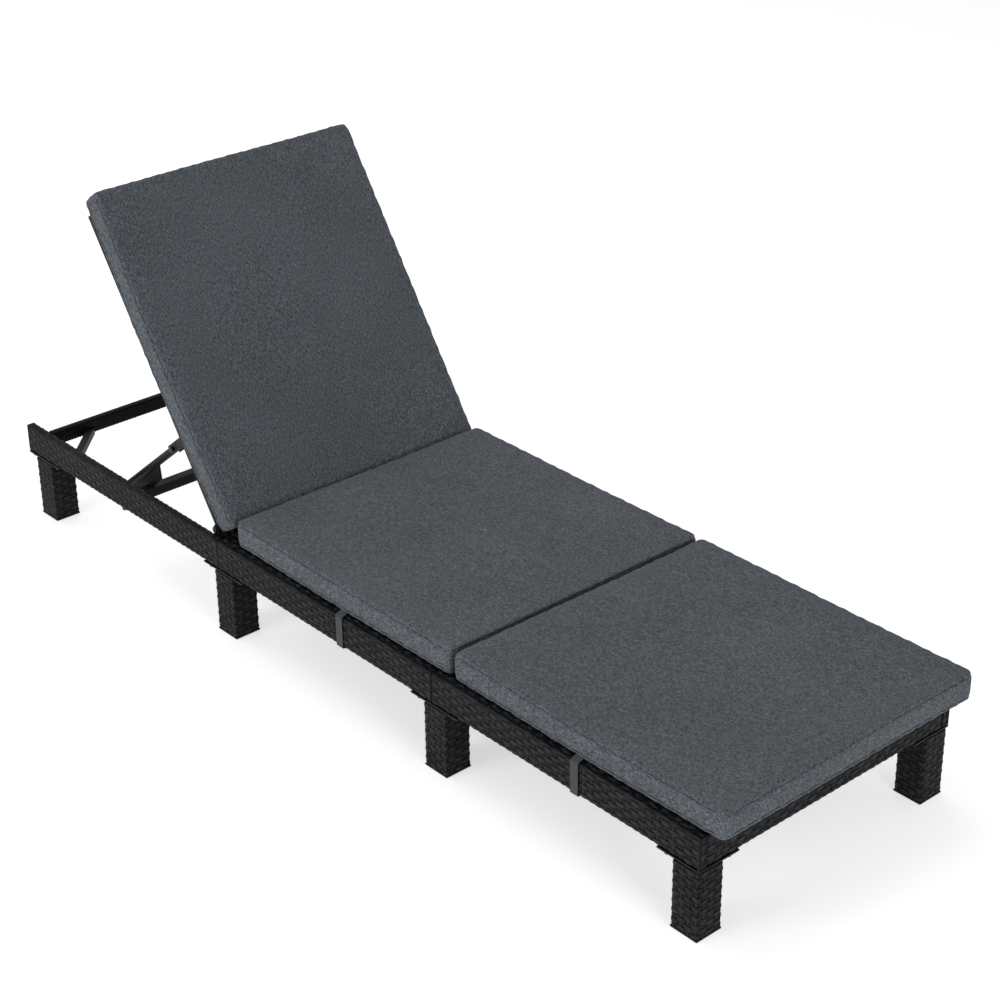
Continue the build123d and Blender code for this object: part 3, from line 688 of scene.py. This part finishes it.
def leg_sleeves():
    """Legs woven with level rows, their lowest row a little uneven."""
    for label in SIDES:
        for leg in LEGS:
            node = f"leg_cover_{leg}_{label}"
            low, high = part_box(node)
            section = rounded_section(high.x - low.x - 2 * SLEEVE, high.y - low.y - 2 * SLEEVE,
                                      SLEEVE_CORNER)
            girth = section[2][-1]
            columns = 2 * round(girth / STRAND_PITCH / 2)
            rows = 2 * round((high.z - low.z) / ROW_PITCH / 2)
            hem = 0.0045
            pitch, row_pitch = girth / columns, (high.z - low.z - hem) / rows
            name = f"woven_leg_{leg}_{label}"
            sheet = woven_sheet(name, columns, rows, pitch, row_pitch, LIFT, CROWN, 2)
            points = points_of(sheet)
            ragged = 0.0012 * np.sin(points[:, 0] * 190 + low.x * 37)
            ragged *= np.clip(1 - points[:, 1] / 0.02, 0, 1)
            x, y = round_section(section, points[:, 0], points[:, 2])
            middle = (low + high) / 2
            height = np.maximum(low.z + points[:, 1] + ragged + 0.0006, low.z)
            move_points(sheet, np.column_stack([middle.x + x, middle.y + y, height]))
            face_out(sheet, lambda p: Vector((middle.x, middle.y, p.z)))
            merge_seams(sheet)
            hand_over(sheet, WICKER, "wicker", "base", node)


def deck_sheet(name, x0, x1, y0, y1, z):
    columns = 2 * round((x1 - x0) / DECK_PITCH / 2)
    rows = 2 * round((y1 - y0) / DECK_PITCH / 2)
    sheet = woven_sheet(name, columns, rows, (x1 - x0) / columns, (y1 - y0) / rows,
                        DECK_THICK, DECK_CROWN, 2, DECK_THICK)
    points = points_of(sheet)
    move_points(sheet, points + np.array([x0, y0, z]))
    return sheet


def decks():
    for node in ("seat_deck", "foot_deck"):
        low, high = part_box(node)
        foot_end = TUCK if node == "foot_deck" else 0
        piece = deck_sheet(f"woven_{node}", low.x, high.x + foot_end, low.y - TUCK,
                           high.y + TUCK, (low.z + high.z) / 2)
        hand_over(piece, WICKER, "wicker", "base", node)


def lean(piece):
    """Raise a piece shaped flat about the hinge line to the backrest's angle."""
    piece.data.transform(Matrix.Translation(HINGE) @ Matrix.Rotation(RECLINE, 4, "Y"))
    piece.data.update()


def flat_box(node):
    """A backrest piece's corners, measured with the backrest laid flat."""
    back = Matrix.Rotation(-RECLINE, 4, "Y") @ Matrix.Translation(-HINGE)
    places = np.array([back @ v.co for v in cad[node].data.vertices])
    return Vector(places.min(0)), Vector(places.max(0))


def back_panel():
    low, high = flat_box("backrest_panel")
    piece = deck_sheet("woven_back_panel", low.x, high.x, low.y, high.y,
                       (low.z + high.z) / 2)
    lean(piece)
    hand_over(piece, WICKER, "wicker", "backrest", "backrest_panel")


# ---- cushions --------------------------------------------------------------------
def edges_where(piece, test):
    """Select the edges whose two ends pass a test, in edit mode's edge choice."""
    only(piece)
    bpy.ops.object.mode_set(mode="EDIT")
    bpy.ops.mesh.select_mode(type="EDGE")
    bpy.ops.mesh.select_all(action="DESELECT")
    bpy.ops.object.mode_set(mode="OBJECT")
    mesh = piece.data
    for edge in mesh.edges:
        a, b = (mesh.vertices[i].co for i in edge.vertices)
        edge.select = test(a, b)
    bpy.ops.object.mode_set(mode="EDIT")


def foam_block(name, low, high, corner, edge):
    """A block with rounded corners and edges, a little inside its space."""
    size = high - low
    bpy.ops.mesh.primitive_cube_add(size=1, location=(low + high) / 2)
    piece = bpy.context.active_object
    piece.name = name
    piece.scale = size
    settle_place(piece)
    edges_where(piece, lambda a, b: abs(a.z - b.z) > size.z / 2)
    bpy.ops.mesh.bevel(offset=corner, segments=7)
    bpy.ops.object.mode_set(mode="OBJECT")
    top = high.z - 0.0001
    edges_where(piece, lambda a, b: min(a.z, b.z) > top or max(a.z, b.z) < low.z + 0.0001)
    bpy.ops.mesh.bevel(offset=edge, segments=4)
    bpy.ops.object.mode_set(mode="OBJECT")
    return piece


def plump(piece):
    """Blow the block up a little, as foam fills its cover, and smooth it."""
    only(piece)
    piece.data.remesh_voxel_size = CUSHION_VOXEL
    bpy.ops.object.voxel_remesh()
    before = points_of(piece)
    cloth = piece.modifiers.new("Cloth", "CLOTH")
    cloth.settings.use_pressure = True
    cloth.settings.uniform_pressure_force = 4.0
    cloth.settings.effector_weights.gravity = 0.0
    cloth.settings.tension_stiffness = 20.0
    cloth.settings.bending_stiffness = 6.0
    cloth.point_cache.frame_start = 1
    cloth.point_cache.frame_end = BLOWING_FRAMES
    for now in range(1, BLOWING_FRAMES + 1):
        bpy.context.scene.frame_set(now)
    only(piece)
    bpy.ops.object.modifier_apply(modifier=cloth.name)
    bpy.context.scene.frame_set(1)
    after = points_of(piece)
    travel = after - before
    reach = np.linalg.norm(travel, axis=1, keepdims=True)
    travel *= np.minimum(1.0, CUSHION_SWELL / np.maximum(reach, 1e-9))
    move_points(piece, before + travel)
    smooth = piece.modifiers.new("Smooth", "SMOOTH")
    smooth.factor = 0.5
    smooth.iterations = 2
    fine = piece.modifiers.new("Subdivision", "SUBSURF")
    fine.levels = fine.render_levels = 1
    apply_all(piece)


def fill_space(piece, low, high):
    """Stretch a blown-up cushion evenly until it just fills its space."""
    points = points_of(piece)
    least, most = points.min(0), points.max(0)
    points = np.array(low) + (points - least) / (most - least) * np.array(high - low)
    move_points(piece, points)


def edge_distance(points, low, high, corner):
    """Distance inside the cushion's outline seen from above."""
    middle = (np.array(low[:2]) + np.array(high[:2])) / 2
    half = (np.array(high[:2]) - np.array(low[:2])) / 2
    q = np.abs(points[:, :2] - middle) - (half - corner)
    outside = np.linalg.norm(np.maximum(q, 0), axis=1) + np.minimum(q.max(1), 0)
    return corner - outside


def dress(piece, low, high, corner, seams, seed):
    """Seam grooves, small puckers beside them and a soft unevenness."""
    points = points_of(piece)
    normals = np.empty(len(points) * 3, dtype=np.float32)
    piece.data.vertex_normals.foreach_get("vector", normals)
    normals = normals.reshape(-1, 3)
    side_run = points[:, 0] + points[:, 1] * 1.37
    pucker = (np.sin(side_run * 165 + seed) + 0.6 * np.sin(side_run * 291 + 2 * seed)
              + 0.5 * np.sin(side_run * 77 + seed))
    inside = edge_distance(points, low, high, corner)
    near_edge = np.exp(-(inside / 0.022) ** 2)
    push = 0.00045 * pucker * near_edge
    push += 0.0006 * np.sin(points[:, 0] * 11 + seed) * np.sin(points[:, 1] * 13 + seed)
    for level in seams:
        gap = points[:, 2] - level
        push -= 0.0016 * np.exp(-(gap / 0.0024) ** 2) * (inside < 0.012)
    resting = points[:, 2] < low.z + 0.006
    push[resting] = np.minimum(push[resting], 0)
    points = points + normals * push[:, None]
    points[:, 2] = np.maximum(points[:, 2], low.z)
    move_points(piece, points)


def seam_cord(name, piece, low, high, corner, level):
    """A thin stitched cord that follows the cushion's side at one height."""
    tree = BVHTree.FromPolygons([v.co for v in piece.data.vertices],
                                [p.vertices for p in piece.data.polygons])
    middle = (low + high) / 2
    places, ways, run = rounded_section(high.x - low.x, high.y - low.y, corner)
    spots = np.arange(0, run[-1], 0.006)
    found = []
    for s in spots:
        x, y = (np.interp(s, run, places[:, i]) for i in (0, 1))
        nx, ny = (np.interp(s, run, ways[:, i]) for i in (0, 1))
        way = Vector((-nx, -ny, 0)).normalized()
        start = Vector((middle.x + x, middle.y + y, level)) - way * 0.03
        hit = tree.ray_cast(start, way, 0.08)[0]
        found.append(hit if hit is not None else start + way * 0.03)
    places = np.array(found)
    for _ in range(2):
        places = (np.roll(places, 1, 0) + places * 2 + np.roll(places, -1, 0)) / 4
    curve = bpy.data.curves.new(name, "CURVE")
    curve.dimensions = "3D"
    curve.bevel_depth = SEAM_CORD
    curve.bevel_resolution = 1
    line = curve.splines.new("POLY")
    line.points.add(len(places) - 1)
    line.points.foreach_set("co", np.column_stack([places, np.ones(len(places))]).ravel())
    line.use_cyclic_u = True
    cord = bpy.data.objects.new(name, curve)
    bpy.context.scene.collection.objects.link(cord)
    only(cord)
    bpy.ops.object.convert(target="MESH")
    cord = bpy.context.active_object
    note_points(cord, "cloth", points_of(cord))
    return cord


def ease(piece, spot, shift, reach):
    """Pull a corner or a whole side a little, fading out over its reach.

    A side has None in place of the coordinate that runs along it.
    """
    points = points_of(piece)
    away = np.hypot(*[points[:, i] - at if at is not None else 0 * points[:, i]
                      for i, at in enumerate(spot)])
    share = np.exp(-(away / reach) ** 2)
    points[:, 0] += shift[0] * share
    points[:, 1] += shift[1] * share
    move_points(piece, points)


def make_cushion(node, low, high, body, raised, seed, eased=()):
    """One cushion with its sewn seams, shaped lying flat and then put in place."""
    room = Vector((0.0025, 0.0025, 0.0))
    block_high = high - room - Vector((0, 0, 0.0025))
    piece = foam_block(f"cushion_{node}", low + room, block_high, CUSHION_CORNER, CUSHION_EDGE)
    plump(piece)
    slack = Vector((0.001, 0.001, 0))
    fill_space(piece, low + slack, high - slack)
    seams = (low.z + LOW_SEAM, high.z - HIGH_SEAM)
    dress(piece, low, high, CUSHION_CORNER, seams, seed)
    note_points(piece, "cloth", points_of(piece))
    cords = [seam_cord(f"seam_{k}_{node}", piece, low, high, CUSHION_CORNER, level)
             for k, level in enumerate(seams)]
    for part in [piece, *cords]:
        for spot, shift, reach in eased:
            ease(part, spot, shift, reach)
        if raised:
            lean(part)
    hand_over(piece, CLOTH, "cushion_fabric", body, node)
    seam = joined(cords, f"seams_{node}")
    hand_over(seam, SEAM, "cushion_fabric", body)


def cushions():
    low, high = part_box("seat_cushion")
    make_cushion("seat_cushion", low, high, "base", False, 0.7,
                 [((high.x, low.y), (-0.003, -0.001), 0.15),
                  ((high.x, None), (-0.009, 0), 0.2),
                  (((low.x + high.x) / 2, low.y), (0, -0.004), 0.25)])
    low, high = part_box("foot_cushion")
    make_cushion("foot_cushion", low, high, "base", False, 2.9,
                 [((low.x, low.y), (-0.0025, -0.002), 0.16),
                  ((low.x, None), (-0.0125, 0), 0.2),
                  (((low.x + high.x) / 2, low.y), (0, -0.005), 0.3),
                  ((high.x, None), (-0.014, 0), 0.2)])
    low, high = flat_box("back_cushion")
    make_cushion("back_cushion", low, high, "backrest", True, 5.3,
                 [(((low.x + high.x) / 2, low.y), (0, -0.008), 0.3)])


# ---- straps ------------------------------------------------------------------------
def rounded_path(points, radius, steps=5):
    """The corners of a path in Y and Z, each turned through a smooth bend."""
    out = [points[0]]
    for before, at, after in zip(points, points[1:], points[2:]):
        at, before, after = (np.array(p, dtype=float) for p in (at, before, after))
        back = (before - at) / np.linalg.norm(before - at)
        on = (after - at) / np.linalg.norm(after - at)
        for k in range(steps + 1):
            t = k / steps
            a = at + back * radius * (1 - t)
            b = at + on * radius * t
            out.append(tuple(a * (1 - t) + b * t))
    out.append(points[-1])
    return np.array(out)


def strap_along(name, path, middle, width):
    """A flat band that follows a path in Y and Z, with a rounded thin edge."""
    run = np.concatenate([[0], np.cumsum(np.linalg.norm(np.diff(path, axis=0), axis=1))])
    spots = np.unique(np.concatenate([run, np.arange(0, run[-1], 0.012)]))
    bpy.ops.mesh.primitive_grid_add(x_subdivisions=len(spots) - 1, y_subdivisions=6, size=1)
    piece = bpy.context.active_object
    points = points_of(piece)
    index = np.rint((points[:, 0] + 0.5) * (len(spots) - 1)).astype(int)
    s = spots[index]
    y, z = (np.interp(s, run, path[:, i]) for i in (0, 1))
    note_points(piece, "cloth", np.column_stack([s, points[:, 1] * width, np.zeros(len(s))]))
    move_points(piece, np.column_stack([middle + points[:, 1] * width, y, z]))
    wall = piece.modifiers.new("Solidify", "SOLIDIFY")
    wall.thickness = STRAP_THICK
    wall.offset = 0
    soft = piece.modifiers.new("Bevel", "BEVEL")
    soft.width = 0.0004
    soft.segments = 2
    soft.limit_method = "ANGLE"
    soft.angle_limit = math.radians(60)
    apply_all(piece)
    piece.name = name
    return piece


def deck_straps():
    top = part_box("rail_cover_seat_right")[1].z + 0.0011
    for node, pad in (("seat_strap", "seat_cushion"), ("foot_strap", "foot_cushion")):
        low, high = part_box(node)
        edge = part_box(pad)[0].y
        out = -low.y - STRAP_THICK / 2
        under = low.z + STRAP_THICK / 2
        path = rounded_path([(edge + 0.004, top + 0.009), (edge - 0.0035, top + 0.004),
                             (-out, top), (-out, under), (out, under), (out, top - 0.001)],
                            STRAP_BEND)
        piece = strap_along(f"webbing_{node}", path, (low.x + high.x) / 2, high.x - low.x)
        hand_over(piece, WEBBING, "strap_webbing", "base", node)


def back_strap():
    low, high = flat_box("back_strap")
    near, far, under = low.y + STRAP_THICK / 2, high.y - STRAP_THICK / 2, low.z + STRAP_THICK / 2
    path = rounded_path([(near, high.z), (near, under), (far, under), (far, high.z)], STRAP_BEND)
    piece = strap_along("webbing_back_strap", path, (low.x + high.x) / 2, high.x - low.x)
    lean(piece)
    hand_over(piece, WEBBING, "strap_webbing", "backrest", "back_strap")


rail_sleeves()
foot_rail_sleeve()
head_bar_wrap()
leg_sleeves()
decks()
back_panel()
cushions()
deck_straps()
back_strap()


# ---- floor, light and camera -----------------------------------------------------
def studio():
    bpy.ops.mesh.primitive_plane_add(size=60, location=(0, 0, 0))
    floor = bpy.context.active_object
    floor.name = "studio_floor"
    material, tree, shader = blank_material("studio_paper")
    place = object_place(tree)
    patch = grime(tree, place, 0.5, 0.3)
    tone = step(tree, "ShaderNodeMath", operation="ADD", in_1=0.5, use_clamp=True)
    wire(tree, patch.outputs["Value"], tone.inputs[0])
    wire(tree, tinted(tree, (0.90, 0.90, 0.90), (0.93, 0.93, 0.93), tone.outputs[0]),
         shader.inputs["Base Color"])
    shader.inputs["Roughness"].default_value = 0.9
    shader.inputs["Emission Color"].default_value = (1, 1, 1, 1)
    seen = step(tree, "ShaderNodeLightPath")
    glow = step(tree, "ShaderNodeMapRange", in_3=0.15, in_4=0.6)
    wire(tree, seen.outputs["Is Camera Ray"], glow.inputs[0])
    wire(tree, glow.outputs[0], shader.inputs["Emission Strength"])
    floor.data.materials.append(material)
    world = bpy.data.worlds.new("studio")
    world.use_nodes = True
    sky = world.node_tree.nodes["Background"]
    sky.inputs[0].default_value = (1, 1, 1, 1)
    looked_at = step(world.node_tree, "ShaderNodeLightPath")
    strength = step(world.node_tree, "ShaderNodeMapRange", in_3=0.3, in_4=1.1)
    wire(world.node_tree, looked_at.outputs["Is Camera Ray"], strength.inputs[0])
    wire(world.node_tree, strength.outputs[0], sky.inputs[1])
    bpy.context.scene.world = world
    for name, place, size, power in (
        ("key", (4.8, -0.9, 1.5), 2.0, 58.0),
        ("side", (-0.6, -4.6, 1.4), 2.2, 72.0),
        ("top", (-2.2, 0.3, 4.4), 4.5, 62.0),
    ):
        lamp = bpy.data.lights.new(name, "AREA")
        lamp.size = size
        lamp.energy = power
        holder = bpy.data.objects.new(name, lamp)
        bpy.context.scene.collection.objects.link(holder)
        holder.location = place
        aim = Vector((0, 0, 0.25)) - Vector(place)
        holder.rotation_euler = aim.to_track_quat("-Z", "Y").to_euler()


def main_camera():
    """The view from beside the foot end, a little above the backrest."""
    lens = bpy.data.cameras.new("camera")
    lens.lens = 80.5
    lens.sensor_width = 36.0
    lens.clip_end = 200.0
    holder = bpy.data.objects.new("camera", lens)
    bpy.context.scene.collection.objects.link(holder)
    holder.location = (2.81629, -2.33040, 2.23701)
    holder.rotation_euler = (1.0835572, 0.0095991, 0.8462257)
    bpy.context.scene.camera = holder


studio()
main_camera()
bpy.context.scene.view_settings.view_transform = "Standard"
